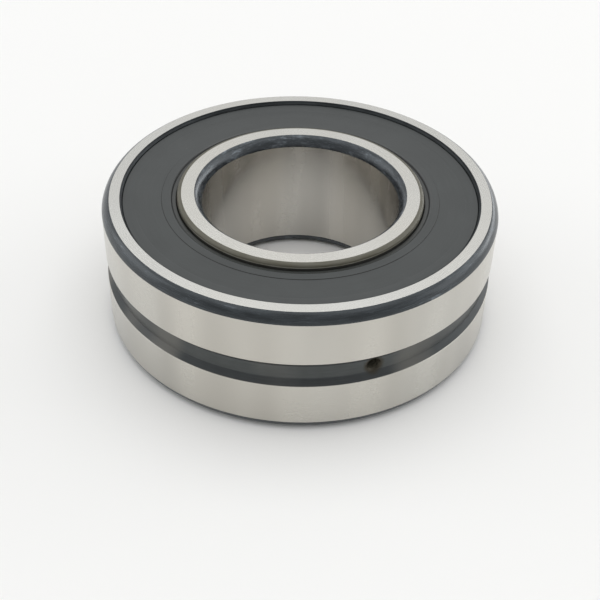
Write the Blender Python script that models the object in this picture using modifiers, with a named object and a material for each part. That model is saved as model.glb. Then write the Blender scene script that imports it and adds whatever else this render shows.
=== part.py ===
"""Sealed spherical roller bearing, 40 mm bore, 80 mm outside diameter and 28 mm wide.

The bearing lies flat with its centre at the origin and its axis along Z. Two rows of barrel rollers run
between two curved tracks on the inner ring and one spherical track inside the outer ring, so the inner
ring can tilt as well as turn. Each row has a window cage, a loose guide ring lies between the rows, and
a rubber seal snaps into each side of the outer ring.

Lengths are in metres and angles in radians.
"""

import math

import bmesh
import bpy
from mathutils import Matrix, Vector

# Boundary sizes
BORE_DIAMETER = 0.0400
OUTSIDE_DIAMETER = 0.0800
WIDTH = 0.0280

# Outer ring
OUTER_WALL = 0.0035
OUTER_CORNER_RADIAL = 0.00154
OUTER_CORNER_AXIAL = 0.0020
OUTER_FACE_WIDTH = 0.00218
RECESS_DEPTH = 0.0021
RECESS_MOUTH_DEPTH = 0.0008
RECESS_MOUTH_TAPER = 0.00038
SNAP_GROOVE_DEPTH = 0.00055
SNAP_GROOVE_SLOPE = 0.0003

# Lubrication groove and oil holes round the outer ring
GROOVE_WIDTH = 0.0055
GROOVE_FLOOR_WIDTH = 0.0032
GROOVE_DEPTH = 0.0010
OIL_HOLES = 3
OIL_HOLE_DIAMETER = 0.0024
OIL_HOLE_MOUTH = 0.0030
FIRST_OIL_HOLE = math.radians(-67.3)

# Inner ring
INNER_WALL = 0.0050
BORE_CORNER_RADIAL = 0.0015
BORE_CORNER_AXIAL = 0.0022
LAND_WIDTH = 0.0027
LAND_STEP = 0.0003
LAND_CHAMFER_RADIAL = 0.0008
LAND_CHAMFER_AXIAL = 0.0006
RIDGE_FLAT_DEPTH = 0.00025

# Rollers
ROLLER_CHAMFER = 0.00035
CROWN_RATIO = 0.97

# Guide ring between the rows
GUIDE_RING_WIDTH = 0.0018

# Cages
CAGE_THICKNESS = 0.0008
CAGE_RISE = 0.0010
CAGE_BEND = 0.0004
CAGE_FLANGE_GAP = 0.0009
NARROWEST_BAR = 0.0010

# Seals
SEAL_SINK = 0.00105
SEAL_WEB = 0.0005
SEAL_PLATEAU_RISE = 0.0001
SEAL_RIM_SHARE = 0.21
SEAL_COLLAR_SHARE = 0.20
SEAL_MOULD_SLOPE = 0.00015
SEAL_BEAD_CHAMFER = 0.0003
LIP_REACH = 0.00095
LIP_DROP = 0.00055
LIP_TIP = 0.00025

# Clearances between pieces
RUNNING_CLEARANCE = 0.00015
ROLLER_END_CLEARANCE = 0.0003
WINDOW_CLEARANCE = 0.00022
SEAT_CLEARANCE = 0.0003
TILT_MARGIN = 0.0001
LARGEST_TILT = math.radians(0.5)

# Fineness of the round shapes
RING_STEPS = 56
CAGE_STEPS_PER_ROLLER = 3
ROLLER_STEPS = 12
OIL_HOLE_STEPS = 12
OUTER_TRACK_CHORDS = 8
INNER_TRACK_CHORDS = 4
CORNER_CHORDS = 2
SHARP_ANGLE = math.radians(30)
MERGE_DISTANCE = 0.00001

# Search for the contact angle
STEEPEST_CONTACT_ANGLE = math.radians(25)
SEARCH_HALVINGS = 50

# Heights and radii that several pieces share
HALF_WIDTH = WIDTH / 2
BORE_RADIUS = BORE_DIAMETER / 2
OUTER_RADIUS = OUTSIDE_DIAMETER / 2
TRACK_RADIUS = OUTER_RADIUS - OUTER_WALL
LAND_RADIUS = BORE_RADIUS + INNER_WALL
INNER_TRACK_RADIUS = LAND_RADIUS + LAND_STEP
PITCH_RADIUS = (TRACK_RADIUS + RUNNING_CLEARANCE + INNER_TRACK_RADIUS) / 2
FACE_RADIUS = OUTER_RADIUS - OUTER_CORNER_RADIAL
MOUTH_RADIUS = FACE_RADIUS - OUTER_FACE_WIDTH
NECK_RADIUS = MOUTH_RADIUS - RECESS_MOUTH_TAPER
SNAP_RADIUS = NECK_RADIUS + SNAP_GROOVE_DEPTH
LEDGE_HEIGHT = HALF_WIDTH - RECESS_DEPTH
SEAL_TOP = HALF_WIDTH - SEAL_SINK
SEAL_UNDERSIDE = SEAL_TOP - SEAL_WEB
TILT_ROOM = TRACK_RADIUS * math.sin(LARGEST_TILT) + TILT_MARGIN
CAGE_CEILING = SEAL_UNDERSIDE - TILT_ROOM


def ridge_radius(angle):
    """Radius of the flat between the inner ring's two tracks, for a contact angle."""
    track = TRACK_RADIUS + RUNNING_CLEARANCE
    centre_height = 2 * PITCH_RADIUS * math.tan(angle)
    return 2 * PITCH_RADIUS - math.sqrt(track ** 2 - centre_height ** 2) - RIDGE_FLAT_DEPTH


def row_half_length(angle):
    """Distance along a roller's axis from the row's middle to the guide ring, for a contact angle."""
    guide_bore = ridge_radius(angle) + SEAT_CLEARANCE
    return guide_bore * math.sin(angle) - GUIDE_RING_WIDTH / 2 * math.cos(angle)


def cage_top(angle):
    """Height of the cage's outer edge above the middle of the bearing, for a contact angle."""
    along = row_half_length(angle) + CAGE_THICKNESS
    cage_outside = PITCH_RADIUS / math.cos(angle) + CAGE_RISE + CAGE_THICKNESS / 2
    return along * math.cos(angle) + cage_outside * math.sin(angle)


def contact_angle():
    """Find the contact angle at which a row just fills the height between guide ring and seal."""
    low = 0.0
    high = STEEPEST_CONTACT_ANGLE
    for _ in range(SEARCH_HALVINGS):
        middle = (low + high) / 2
        if cage_top(middle) < CAGE_CEILING:
            low = middle
        else:
            high = middle
    return low


CONTACT_ANGLE = contact_angle()
RIDGE_RADIUS = ridge_radius(CONTACT_ANGLE)
ROW_HALF_LENGTH = row_half_length(CONTACT_ANGLE)
ROLLER_LENGTH = 2 * (ROW_HALF_LENGTH - ROLLER_END_CLEARANCE)
ROW_RADIUS = PITCH_RADIUS / math.cos(CONTACT_ANGLE)
PITCH_HEIGHT = PITCH_RADIUS * math.tan(CONTACT_ANGLE)
ROLLER_RADIUS = TRACK_RADIUS - ROW_RADIUS
GUIDE_BORE_RADIUS = RIDGE_RADIUS + SEAT_CLEARANCE
CAGE_INSIDE = ROW_RADIUS + CAGE_RISE - CAGE_THICKNESS / 2
CAGE_OUTSIDE = CAGE_INSIDE + CAGE_THICKNESS
WINDOW_CHORD = math.sqrt(ROLLER_RADIUS ** 2 - (CAGE_INSIDE - ROW_RADIUS) ** 2)
WINDOW_WIDTH = 2 * (WINDOW_CHORD + WINDOW_CLEARANCE)
WINDOW_LENGTH = ROLLER_LENGTH + 2 * WINDOW_CLEARANCE

# As many rollers in a row as the bars between the windows leave room for
SMALLEST_PITCH = 2 * math.asin((WINDOW_WIDTH + NARROWEST_BAR) / (2 * PITCH_RADIUS))
ROLLERS_PER_ROW = math.floor(2 * math.pi / SMALLEST_PITCH)
ROLLER_PITCH = 2 * math.pi / ROLLERS_PER_ROW


def row_point(along, out):
    """Radius and height of a point of the upper row's section.

    The point lies along the roller's axis from the middle of the row, and out from the bearing's centre
    in the direction of the contact angle.
    """
    radius = out * math.cos(CONTACT_ANGLE) - along * math.sin(CONTACT_ANGLE)
    height = out * math.sin(CONTACT_ANGLE) + along * math.cos(CONTACT_ANGLE)
    return radius, height


def mirrored(outline):
    """The same section points below the middle plane, in the order in which they are met going down."""
    return [(radius, -height) for radius, height in reversed(outline)]


def rounded_corner(centre, reach, start):
    """Points of a quarter turn, clockwise from the start angle, about a centre in the section."""
    points = []
    for step in range(CORNER_CHORDS + 1):
        turn = start - math.pi / 2 * step / CORNER_CHORDS
        points.append((centre[0] + reach[0] * math.cos(turn), centre[1] + reach[1] * math.sin(turn)))
    return points


def finish(name, colour, roughness, metallic):
    """Make a Principled material from a linear colour, a roughness and a metallic value."""
    material = bpy.data.materials.new(name)
    material.use_nodes = True
    shader = material.node_tree.nodes["Principled BSDF"]
    shader.inputs["Base Color"].default_value = (*colour, 1.0)
    shader.inputs["Roughness"].default_value = roughness
    shader.inputs["Metallic"].default_value = metallic
    material.diffuse_color = (*colour, 1.0)
    return material


def ring_steel():
    """Bright ground steel of the outer ring."""
    return finish("ring steel", colour=(0.56, 0.55, 0.52), roughness=0.30, metallic=1.0)


def bore_steel():
    """Bright ground steel of the inner ring, a little warmer."""
    return finish("bore steel", colour=(0.55, 0.53, 0.49), roughness=0.28, metallic=1.0)


def roller_steel():
    """Fine ground steel of the rollers."""
    return finish("roller steel", colour=(0.62, 0.62, 0.60), roughness=0.18, metallic=1.0)


def guide_steel():
    """Turned steel of the guide ring."""
    return finish("guide steel", colour=(0.42, 0.41, 0.40), roughness=0.40, metallic=1.0)


def cage_steel():
    """Pressed sheet steel of the cages."""
    return finish("cage steel", colour=(0.36, 0.35, 0.33), roughness=0.45, metallic=1.0)


def seal_rubber():
    """Dark grey moulded rubber of the seals."""
    return finish("seal rubber", colour=(0.090, 0.094, 0.092), roughness=0.55, metallic=0.0)


def turned_solid(name, outline, steps, collection, closed=True):
    """Turn a section of radius and height points about Z.

    The outline runs down the outer side from top to bottom. A closed one goes on up the inner side, and
    an open one starts and ends on the axis.
    """
    mesh = bpy.data.meshes.new(name)
    links = [(index, index + 1) for index in range(len(outline) - 1)]
    if closed:
        links.append((len(outline) - 1, 0))
    mesh.from_pydata([(radius, 0.0, height) for radius, height in outline], links, [])
    solid = bpy.data.objects.new(name, mesh)
    collection.objects.link(solid)
    screw = solid.modifiers.new("Turn", "SCREW")
    screw.axis = "Z"
    screw.angle = 2 * math.pi
    screw.steps = steps
    screw.render_steps = steps
    screw.use_merge_vertices = True
    screw.merge_threshold = MERGE_DISTANCE
    return solid


def cut(solid, cutter):
    """Take a cutter's volume out of a solid."""
    boolean = solid.modifiers.new("Cut", "BOOLEAN")
    boolean.operation = "DIFFERENCE"
    boolean.solver = "EXACT"
    boolean.object = cutter


def as_cutter(solid):
    """Show a solid as a wire guide that is not rendered."""
    solid.hide_render = True
    solid.display_type = "WIRE"
    return solid


def settle(solid, material):
    """Apply a solid's modifiers, shade it smooth with sharp corners and give it its material."""
    bpy.context.view_layer.update()
    shaped = solid.evaluated_get(bpy.context.evaluated_depsgraph_get())
    mesh = bpy.data.meshes.new_from_object(shaped)
    mesh.name = solid.name
    solid.modifiers.clear()
    solid.data = mesh
    mesh.shade_smooth()
    mesh.set_sharp_from_angle(angle=SHARP_ANGLE)
    mesh.materials.clear()
    mesh.materials.append(material)
    return solid


def outer_ring_outline():
    """Section of the outer ring: faces, corners, groove, seal recesses and spherical track."""
    upper_face = [(MOUTH_RADIUS, HALF_WIDTH)]
    upper_corner = rounded_corner(
        centre=(FACE_RADIUS, HALF_WIDTH - OUTER_CORNER_AXIAL),
        reach=(OUTER_CORNER_RADIAL, OUTER_CORNER_AXIAL),
        start=math.pi / 2,
    )
    upper_groove = [
        (OUTER_RADIUS, GROOVE_WIDTH / 2),
        (OUTER_RADIUS - GROOVE_DEPTH, GROOVE_FLOOR_WIDTH / 2),
    ]
    upper_outside = upper_face + upper_corner + upper_groove
    neck_height = HALF_WIDTH - RECESS_MOUTH_DEPTH
    upper_recess = [
        (SNAP_RADIUS, LEDGE_HEIGHT),
        (SNAP_RADIUS, neck_height - SNAP_GROOVE_SLOPE),
        (NECK_RADIUS, neck_height),
    ]
    return upper_outside + mirrored(upper_outside) + mirrored(upper_recess) + outer_track() + upper_recess


def outer_track():
    """Points of the outer ring's spherical track, from the lower ledge to the upper one."""
    track = TRACK_RADIUS + RUNNING_CLEARANCE
    end = math.asin(LEDGE_HEIGHT / track)
    points = []
    for step in range(OUTER_TRACK_CHORDS + 1):
        angle = end * (2 * step / OUTER_TRACK_CHORDS - 1)
        points.append((track * math.cos(angle), track * math.sin(angle)))
    return points


def oil_hole_cutter(index, collection):
    """Cutter for one oil hole, pointing out along X from the bearing's axis before it is turned."""
    floor = OUTER_RADIUS - GROOVE_DEPTH
    hole = OIL_HOLE_DIAMETER / 2
    mouth = OIL_HOLE_MOUTH / 2
    beyond = OUTER_RADIUS + GROOVE_DEPTH
    inside = TRACK_RADIUS - OUTER_WALL
    outline = [
        (0.0, beyond),
        (mouth, beyond),
        (mouth, floor),
        (hole, floor - (mouth - hole)),
        (hole, inside),
        (0.0, inside),
    ]
    cutter = turned_solid(f"oil_hole_cutter_{index + 1}", outline, OIL_HOLE_STEPS, collection, closed=False)
    cutter.rotation_euler = (0.0, math.pi / 2, FIRST_OIL_HOLE + 2 * math.pi * index / OIL_HOLES)
    return as_cutter(cutter)


def build_outer_ring(parts, cutters):
    """Outer ring with its lubrication groove, oil holes and seal recesses."""
    ring = turned_solid("outer_ring", outer_ring_outline(), RING_STEPS, parts)
    for index in range(OIL_HOLES):
        cut(ring, oil_hole_cutter(index, cutters))
    return settle(ring, ring_steel())


def inner_track():
    """Points of the inner ring's upper track, from the seal land down to the middle ridge."""
    track = TRACK_RADIUS + RUNNING_CLEARANCE
    centre = (2 * PITCH_RADIUS, 2 * PITCH_HEIGHT)
    top = math.asin((HALF_WIDTH - LAND_WIDTH - centre[1]) / track)
    bottom = -math.acos((centre[0] - RIDGE_RADIUS) / track)
    points = []
    for step in range(INNER_TRACK_CHORDS + 1):
        angle = top + (bottom - top) * step / INNER_TRACK_CHORDS
        points.append((centre[0] - track * math.cos(angle), centre[1] + track * math.sin(angle)))
    return points


def inner_ring_outline():
    """Section of the inner ring: faces, seal lands, two tracks, ridge, bore and its corners."""
    upper_corner = rounded_corner(
        centre=(BORE_RADIUS + BORE_CORNER_RADIAL, HALF_WIDTH - BORE_CORNER_AXIAL),
        reach=(BORE_CORNER_RADIAL, BORE_CORNER_AXIAL),
        start=math.pi,
    )
    upper_land = [
        (LAND_RADIUS - LAND_CHAMFER_RADIAL, HALF_WIDTH),
        (LAND_RADIUS, HALF_WIDTH - LAND_CHAMFER_AXIAL),
        (LAND_RADIUS, HALF_WIDTH - LAND_WIDTH + LAND_STEP),
    ]
    upper_outside = upper_land + inner_track()
    return upper_outside + mirrored(upper_outside) + mirrored(upper_corner) + upper_corner


def build_inner_ring(parts):
    """Inner ring with two curved tracks and a cylindrical bore."""
    ring = turned_solid("inner_ring", inner_ring_outline(), RING_STEPS, parts)
    return settle(ring, bore_steel())


def seal_outline():
    """Section of the upper seal: snap bead, flat web with two moulded lines, and lip."""
    lip_tip = LAND_RADIUS + SEAT_CLEARANCE
    lip_edge = lip_tip + LIP_REACH
    rim_outer = NECK_RADIUS - SEAT_CLEARANCE
    rim_inner = rim_outer - SEAL_RIM_SHARE * (rim_outer - lip_edge)
    collar_outer = lip_edge + SEAL_COLLAR_SHARE * (rim_outer - lip_edge)
    bead = SNAP_RADIUS - SEAT_CLEARANCE
    bead_bottom = LEDGE_HEIGHT + SEAT_CLEARANCE
    bead_inner = outer_track()[-1][0]
    underside_step = SEAL_UNDERSIDE - bead_bottom
    return [
        (lip_tip, SEAL_TOP - LIP_DROP),
        (lip_edge, SEAL_TOP),
        (collar_outer, SEAL_TOP),
        (collar_outer + SEAL_MOULD_SLOPE, SEAL_TOP + SEAL_PLATEAU_RISE),
        (rim_inner - SEAL_MOULD_SLOPE, SEAL_TOP + SEAL_PLATEAU_RISE),
        (rim_inner, SEAL_TOP),
        (rim_outer, SEAL_TOP),
        (bead, SEAL_TOP - SEAL_BEAD_CHAMFER),
        (bead, bead_bottom),
        (bead_inner, bead_bottom),
        (bead_inner - underside_step, SEAL_UNDERSIDE),
        (lip_edge, SEAL_UNDERSIDE),
        (lip_tip, SEAL_TOP - LIP_DROP - LIP_TIP),
    ]


def build_seals(parts):
    """Two like seals, the lower one turned over."""
    upper = turned_solid("seal_upper", seal_outline(), RING_STEPS, parts)
    settle(upper, seal_rubber())
    lower = bpy.data.objects.new("seal_lower", upper.data)
    lower.rotation_euler = (math.pi, 0.0, 0.0)
    parts.objects.link(lower)


def guide_ring_outline():
    """Section of the guide ring, whose sides lie along the rollers' inner ends."""
    cage_rim = row_point(-WINDOW_LENGTH / 2, CAGE_INSIDE)[0]
    upper_side = []
    for radius in (GUIDE_BORE_RADIUS, cage_rim - SEAT_CLEARANCE):
        height = (radius * math.sin(CONTACT_ANGLE) - ROW_HALF_LENGTH) / math.cos(CONTACT_ANGLE)
        upper_side.append((radius, height))
    return upper_side + mirrored(upper_side)


def build_guide_ring(parts):
    """Loose guide ring between the rows, carried on the inner ring's ridge."""
    ring = turned_solid("guide_ring", guide_ring_outline(), RING_STEPS, parts)
    return settle(ring, guide_steel())


def cage_outline():
    """Section of the upper cage: a conical wall with its outer end bent in along the rollers' ends."""
    flange_outside = ROW_HALF_LENGTH + CAGE_THICKNESS
    track = TRACK_RADIUS + RUNNING_CLEARANCE
    track_out = 2 * ROW_RADIUS - math.sqrt(track ** 2 - ROW_HALF_LENGTH ** 2)
    flange_tip = track_out + CAGE_FLANGE_GAP
    middle_gap = SEAT_CLEARANCE / 2
    inner_end = (middle_gap - CAGE_INSIDE * math.sin(CONTACT_ANGLE)) / math.cos(CONTACT_ANGLE)
    outer_end = (middle_gap - CAGE_OUTSIDE * math.sin(CONTACT_ANGLE)) / math.cos(CONTACT_ANGLE)
    section = [
        (flange_outside, flange_tip),
        (flange_outside, CAGE_OUTSIDE - CAGE_BEND),
        (flange_outside - CAGE_BEND, CAGE_OUTSIDE),
        (outer_end, CAGE_OUTSIDE),
        (inner_end, CAGE_INSIDE),
        (ROW_HALF_LENGTH, CAGE_INSIDE),
        (ROW_HALF_LENGTH, flange_tip),
    ]
    return [row_point(along, out) for along, out in section]


def roller_place(index):
    """Place of a roller in its row, with its axis along its own Z and X pointing outwards."""
    around = Matrix.Rotation(index * ROLLER_PITCH, 4, "Z")
    to_pitch_circle = Matrix.Translation(Vector((PITCH_RADIUS, 0.0, PITCH_HEIGHT)))
    lean = Matrix.Rotation(-CONTACT_ANGLE, 4, "Y")
    return around @ to_pitch_circle @ lean


def window_cutter(collection):
    """Boxes that punch every window of a cage."""
    shape = bmesh.new()
    to_wall = Matrix.Translation(Vector((CAGE_INSIDE + CAGE_THICKNESS / 2 - ROW_RADIUS, 0.0, 0.0)))
    size = Matrix.Diagonal(Vector((2 * CAGE_THICKNESS, WINDOW_WIDTH, WINDOW_LENGTH, 1.0)))
    for index in range(ROLLERS_PER_ROW):
        bmesh.ops.create_cube(shape, size=1.0, matrix=roller_place(index) @ to_wall @ size)
    mesh = bpy.data.meshes.new("window_cutter")
    shape.to_mesh(mesh)
    shape.free()
    cutter = bpy.data.objects.new("window_cutter", mesh)
    collection.objects.link(cutter)
    return as_cutter(cutter)


def build_cages(parts, cutters, rows):
    """One window cage for each row."""
    steps = ROLLERS_PER_ROW * CAGE_STEPS_PER_ROLLER
    upper = turned_solid("cage_upper", cage_outline(), steps, parts)
    cut(upper, window_cutter(cutters))
    settle(upper, cage_steel())
    upper.parent = rows["upper"]
    lower = bpy.data.objects.new("cage_lower", upper.data)
    parts.objects.link(lower)
    lower.parent = rows["lower"]


def roller_outline():
    """Section of a barrel roller about its own axis, with crowned sides and chamfered ends."""
    crown = CROWN_RATIO * TRACK_RADIUS
    half_length = ROLLER_LENGTH / 2
    shoulder = half_length - ROLLER_CHAMFER
    shoulder_radius = ROLLER_RADIUS - crown + math.sqrt(crown ** 2 - shoulder ** 2)
    upper = [
        (0.0, half_length),
        (shoulder_radius - ROLLER_CHAMFER, half_length),
        (shoulder_radius, shoulder),
    ]
    return upper + [(ROLLER_RADIUS, 0.0)] + mirrored(upper)


def build_rollers(parts, rows):
    """Two rows of like barrel rollers, which share one mesh."""
    pattern = turned_solid("roller_pattern", roller_outline(), ROLLER_STEPS, parts, closed=False)
    settle(pattern, roller_steel())
    pattern.data.name = "barrel_roller"
    for row_name, row in rows.items():
        for index in range(ROLLERS_PER_ROW):
            roller = bpy.data.objects.new(f"roller_{row_name}_{index + 1:02d}", pattern.data)
            parts.objects.link(roller)
            roller.parent = row
            roller.matrix_local = roller_place(index)
    bpy.data.objects.remove(pattern)


def make_rows(parts):
    """Empties that carry each row's cage and rollers, the lower one turned over and half a pitch on."""
    rows = {}
    for name, turn in (("upper", (0.0, 0.0, 0.0)), ("lower", (math.pi, 0.0, ROLLER_PITCH / 2))):
        row = bpy.data.objects.new(f"row_{name}", None)
        row.rotation_euler = turn
        parts.objects.link(row)
        rows[name] = row
    return rows


def main():
    """Clear the scene and build the bearing."""
    for old in list(bpy.data.objects):
        bpy.data.objects.remove(old)
    parts = bpy.data.collections.new("spherical_roller_bearing")
    cutters = bpy.data.collections.new("cutters")
    for collection in (parts, cutters):
        bpy.context.scene.collection.children.link(collection)
    rows = make_rows(parts)
    build_outer_ring(parts, cutters)
    build_inner_ring(parts)
    build_seals(parts)
    build_guide_ring(parts)
    build_cages(parts, cutters, rows)
    build_rollers(parts, rows)
    bpy.context.view_layer.update()


main()
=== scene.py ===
"""Sealed double-row spherical roller bearing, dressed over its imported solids.

The bearing lies flat with its centre at the origin and its axis along Z. Each piece is turned,
cut and finished where it belongs and stands for the plain solid of the same name. Lengths are in
metres.
"""

from __future__ import annotations

import logging
import math
from collections.abc import Callable
from dataclasses import dataclass
from enum import Enum

import bmesh
import bpy
from mathutils import Matrix, Vector

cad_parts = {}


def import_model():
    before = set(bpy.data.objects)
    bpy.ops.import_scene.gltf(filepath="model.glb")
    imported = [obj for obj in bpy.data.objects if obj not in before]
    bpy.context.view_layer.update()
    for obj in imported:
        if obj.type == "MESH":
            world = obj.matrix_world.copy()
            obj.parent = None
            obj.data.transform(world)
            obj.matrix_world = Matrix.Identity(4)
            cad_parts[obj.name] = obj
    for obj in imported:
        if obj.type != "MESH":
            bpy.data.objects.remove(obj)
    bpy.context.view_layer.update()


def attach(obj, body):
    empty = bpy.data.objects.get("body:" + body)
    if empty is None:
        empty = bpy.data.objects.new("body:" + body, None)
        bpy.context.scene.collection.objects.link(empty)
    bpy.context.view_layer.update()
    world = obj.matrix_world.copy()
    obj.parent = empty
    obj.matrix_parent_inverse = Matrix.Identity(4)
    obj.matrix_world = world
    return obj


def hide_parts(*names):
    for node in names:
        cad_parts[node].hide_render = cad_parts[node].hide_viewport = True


log = logging.getLogger("bearing")

MM = 0.001
FULL_TURN = 2 * math.pi
QUARTER_TURN = math.pi / 2
MERGE_DISTANCE = 0.001 * MM
SEED_SIZE = 0.1 * MM
SMOOTH_ANGLE = math.radians(32)
RING_STEPS = 256
CORNER_CHORDS = 10
TRACK_CHORDS = 14
BAND_LENGTH = 60 * MM
GRAIN_DEPTH = 0.006 * MM
HOLD_DISTANCE = 0.05 * MM
HELD_LENGTH = 1.2 * MM
OIL_HOLES = 3
FIRST_OIL_HOLE = math.radians(-67.3)
OWN_PLACE = "own_place"

Colour = tuple[float, float, float]
Point = tuple[float, float]


class Signal:
    """A number that travels through a material's nodes.

    Arithmetic on signals adds the Math nodes that work it out.
    """

    def __init__(self, graph: Graph, socket: bpy.types.NodeSocket) -> None:
        """Wrap an output socket.

        Args:
            graph: Graph that the socket belongs to.
            socket: Output socket that carries the number.
        """
        self.graph = graph
        self.socket = socket

    def __add__(self, other: Signal | float) -> Signal:
        """Sum of two numbers."""
        return self.graph.math("ADD", self, other)

    def __radd__(self, other: float) -> Signal:
        """Sum with a plain number on the left."""
        return self.graph.math("ADD", other, self)

    def __sub__(self, other: Signal | float) -> Signal:
        """Difference of two numbers."""
        return self.graph.math("SUBTRACT", self, other)

    def __rsub__(self, other: float) -> Signal:
        """Difference with a plain number on the left."""
        return self.graph.math("SUBTRACT", other, self)

    def __mul__(self, other: Signal | float) -> Signal:
        """Product of two numbers."""
        return self.graph.math("MULTIPLY", self, other)

    def __rmul__(self, other: float) -> Signal:
        """Product with a plain number on the left."""
        return self.graph.math("MULTIPLY", other, self)

    def __truediv__(self, other: Signal | float) -> Signal:
        """Quotient of two numbers."""
        return self.graph.math("DIVIDE", self, other)

    def swing(self) -> Signal:
        """A share from 0 to 1, moved to run from -0.5 to 0.5."""
        return self - 0.5

    def blend(self, other: Signal, share: float) -> Signal:
        """This number mixed with a share of another."""
        return (1 - share) * self + share * other


class Graph:
    """Node tree of a material or of the world."""

    MIX_SHARE, MIX_FIRST, MIX_SECOND, MIX_RESULT = 0, 6, 7, 2

    def __init__(self, tree: bpy.types.NodeTree) -> None:
        """Start with an empty tree.

        Args:
            tree: Tree to fill.
        """
        self.tree = tree
        tree.nodes.clear()

    def node(
        self,
        kind: str,
        settings: dict[str, object] | None = None,
        values: dict[str | int, object] | None = None,
    ) -> bpy.types.Node:
        """Add a node.

        Args:
            kind: Node type.
            settings: Properties of the node, set first.
            values: Links or numbers for its input sockets, by name or index.

        Returns:
            The new node.
        """
        node = self.tree.nodes.new(kind)
        for name, value in (settings or {}).items():
            setattr(node, name, value)
        for key, value in (values or {}).items():
            source = value.socket if isinstance(value, Signal) else value
            if isinstance(source, bpy.types.NodeSocket):
                self.tree.links.new(source, node.inputs[key])
            else:
                node.inputs[key].default_value = source
        return node

    def math(self, operation: str, *values: Signal | float) -> Signal:
        """Work out one Math operation.

        Args:
            operation: Name of the operation.
            values: Its operands.

        Returns:
            The result.
        """
        node = self.node("ShaderNodeMath", {"operation": operation}, dict(enumerate(values)))
        return Signal(self, node.outputs[0])

    def ease(self, value: Signal, low: float, high: float) -> Signal:
        """Rise smoothly from 0 to 1 while a value goes from low to high.

        Args:
            value: Value that drives the rise.
            low: Value at which the result is 0.
            high: Value at which the result is 1.

        Returns:
            The eased share.
        """
        values = {"Value": value, "From Min": low, "From Max": high}
        node = self.node("ShaderNodeMapRange", {"interpolation_type": "SMOOTHSTEP"}, values)
        return Signal(self, node.outputs[0])

    def noise(self, place: tuple[Signal, Signal, Signal], **values: Signal | float) -> Signal:
        """Add a noise texture.

        Args:
            place: Where in the pattern the noise is read.
            values: Values or links of the texture's other sockets.

        Returns:
            Noise from 0 to 1.
        """
        vector = self.node("ShaderNodeCombineXYZ", values=dict(enumerate(place)))
        texture = self.node(
            "ShaderNodeTexNoise",
            {"noise_dimensions": "4D"},
            {"Vector": vector.outputs[0], "Scale": 1.0, **values},
        )
        return Signal(self, texture.outputs[0])

    def mix(self, share: Signal, first: object, second: object) -> bpy.types.NodeSocket:
        """Blend two colours.

        Args:
            share: 0 for the first colour, 1 for the second.
            first: Colour or colour socket.
            second: Colour or colour socket.

        Returns:
            Socket of the blended colour.
        """
        values = {self.MIX_SHARE: share}
        for index, colour in ((self.MIX_FIRST, first), (self.MIX_SECOND, second)):
            values[index] = (*colour, 1.0) if isinstance(colour, tuple) else colour
        return self.node("ShaderNodeMix", {"data_type": "RGBA"}, values).outputs[self.MIX_RESULT]

    def bump(self, height: Signal, depth: float) -> bpy.types.NodeSocket:
        """Turn a height from 0 to 1 into a bumped normal.

        Args:
            height: Height over the surface.
            depth: Depth of the relief in metres.

        Returns:
            Socket of the normal.
        """
        values = {"Strength": 1.0, "Distance": depth, "Height": height}
        return self.node("ShaderNodeBump", values=values).outputs[0]

    def round_place(self, attribute: str = "") -> RoundPlace:
        """Read where a point lies round, out from and along the axis.

        Args:
            attribute: Mesh attribute with the place, or nothing for the object's own place.

        Returns:
            The place in parts.
        """
        if attribute:
            reader = self.node("ShaderNodeAttribute", {"attribute_name": attribute})
            source = reader.outputs["Vector"]
        else:
            source = self.node("ShaderNodeTexCoord").outputs["Object"]
        split = self.node("ShaderNodeSeparateXYZ", values={0: source})
        x, y, z = (Signal(self, output) for output in split.outputs)
        radius = self.math("SQRT", x * x + y * y)
        steady = self.math("MAXIMUM", radius, MERGE_DISTANCE)
        return RoundPlace(self, cosine=x / steady, sine=y / steady, radius=radius, height=z)

    def finish(self, **inputs: object) -> None:
        """Add the surface shader and the output.

        Args:
            inputs: Values or links of the shader's sockets, with _ for a space in a name.
        """
        values = {}
        for name, value in inputs.items():
            values[name.replace("_", " ")] = (*value, 1.0) if isinstance(value, tuple) else value
        shader = self.node("ShaderNodeBsdfPrincipled", values=values)
        self.node("ShaderNodeOutputMaterial", values={"Surface": shader.outputs[0]})


@dataclass(frozen=True)
class RoundPlace:
    """Where a point of a turned surface lies."""

    graph: Graph
    cosine: Signal
    sine: Signal
    radius: Signal
    height: Signal

    def marks(self, width: float, reach: float, seed: float, detail: float = 2.0) -> Signal:
        """Noise drawn out round the axis, as a cutting tool or a grinding wheel leaves it.

        Args:
            width: Width of a mark in metres.
            reach: Length of a mark, as an angle.
            seed: Number that makes the pattern its own.
            detail: How many finer layers the noise has.

        Returns:
            Noise from 0 to 1.
        """
        place = self.cosine / reach + seed, self.sine / reach, self.height / width
        return self.graph.noise(place, W=self.radius / width, Detail=detail, Roughness=0.55)

    def bands(self, reach: float, seed: float) -> Signal:
        """Soft light and dark bands that run along the axis and change only round it.

        Args:
            reach: Width of a band, as an angle.
            seed: Number that makes the pattern its own.

        Returns:
            Share of light, from 0 to 1.
        """
        place = self.cosine / reach, self.sine / reach, self.height / BAND_LENGTH
        noise = self.graph.noise(place, W=seed, Detail=1.0)
        return self.graph.ease(noise, low=0.28, high=0.72)

    def grain(self, size: float, seed: float, detail: float = 3.0) -> Signal:
        """Even noise without a direction.

        Args:
            size: Size of a grain in metres.
            seed: Number that makes the pattern its own.
            detail: How many finer layers the noise has.

        Returns:
            Noise from 0 to 1.
        """
        place = self.cosine * self.radius, self.sine * self.radius, self.height
        return self.graph.noise(place, W=seed, Scale=1 / size, Detail=detail)


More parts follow.
